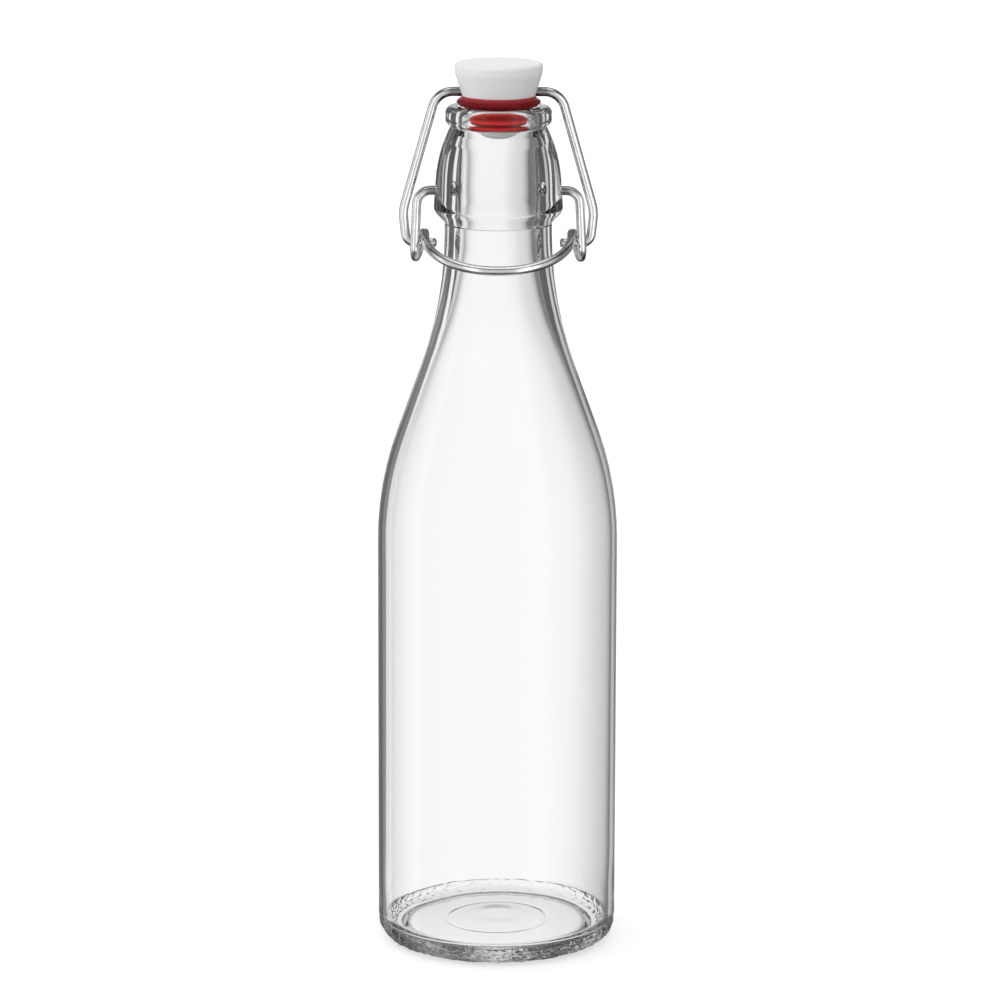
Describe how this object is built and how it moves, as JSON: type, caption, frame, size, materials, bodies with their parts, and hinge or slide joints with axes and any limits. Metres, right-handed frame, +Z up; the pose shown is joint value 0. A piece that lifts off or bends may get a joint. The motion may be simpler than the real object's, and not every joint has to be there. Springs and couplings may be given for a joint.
{
  "type": "swing-top bottle",
  "caption": "Clear glass swing-top bottle with a long shoulder, a white stopper with a red rubber seal, and a steel wire bail and lever that clamp it shut.",
  "frame": {"origin": "centre of the base, on the surface that the bottle stands on", "axes": "+Z up along the bottle's axis; the lever's bow is in front, at -Y, and its pivots are at -X and +X"},
  "size_m": [0.07, 0.07, 0.26],
  "materials": {
    "glass": "clear polished soda-lime glass",
    "white_plastic": "satin moulded",
    "red_rubber": "smooth moulded",
    "steel_wire": "bright galvanised drawn wire"
  },
  "bodies": {
    "bottle": {"bottle": "glass"},
    "lever": {"lever": "steel_wire"},
    "bail": {"bail": "steel_wire"},
    "stopper": {"stopper": "white_plastic", "seal": "red_rubber"}
  },
  "joints": [
    {"name": "lever_swing", "type": "hinge", "parent": "bottle", "child": "lever", "pos_m": [0, 0, 0.2228], "axis": [-1, 0, 0], "range_deg": [0, 95]},
    {"name": "bail_turn", "type": "hinge", "parent": "lever", "child": "bail", "pos_m": [0, 0, 0.20755], "axis": [-1, 0, 0], "range_deg": [-67, 0]},
    {"name": "stopper_turn", "type": "hinge", "parent": "bail", "child": "stopper", "pos_m": [0, 0, 0.2514], "axis": [-1, 0, 0], "range_deg": [-29, 0]}
  ],
  "couplings": [
    {"joint": "bail_turn", "follows": "lever_swing", "ratio": -0.7},
    {"joint": "stopper_turn", "follows": "lever_swing", "ratio": -0.3}
  ]
}
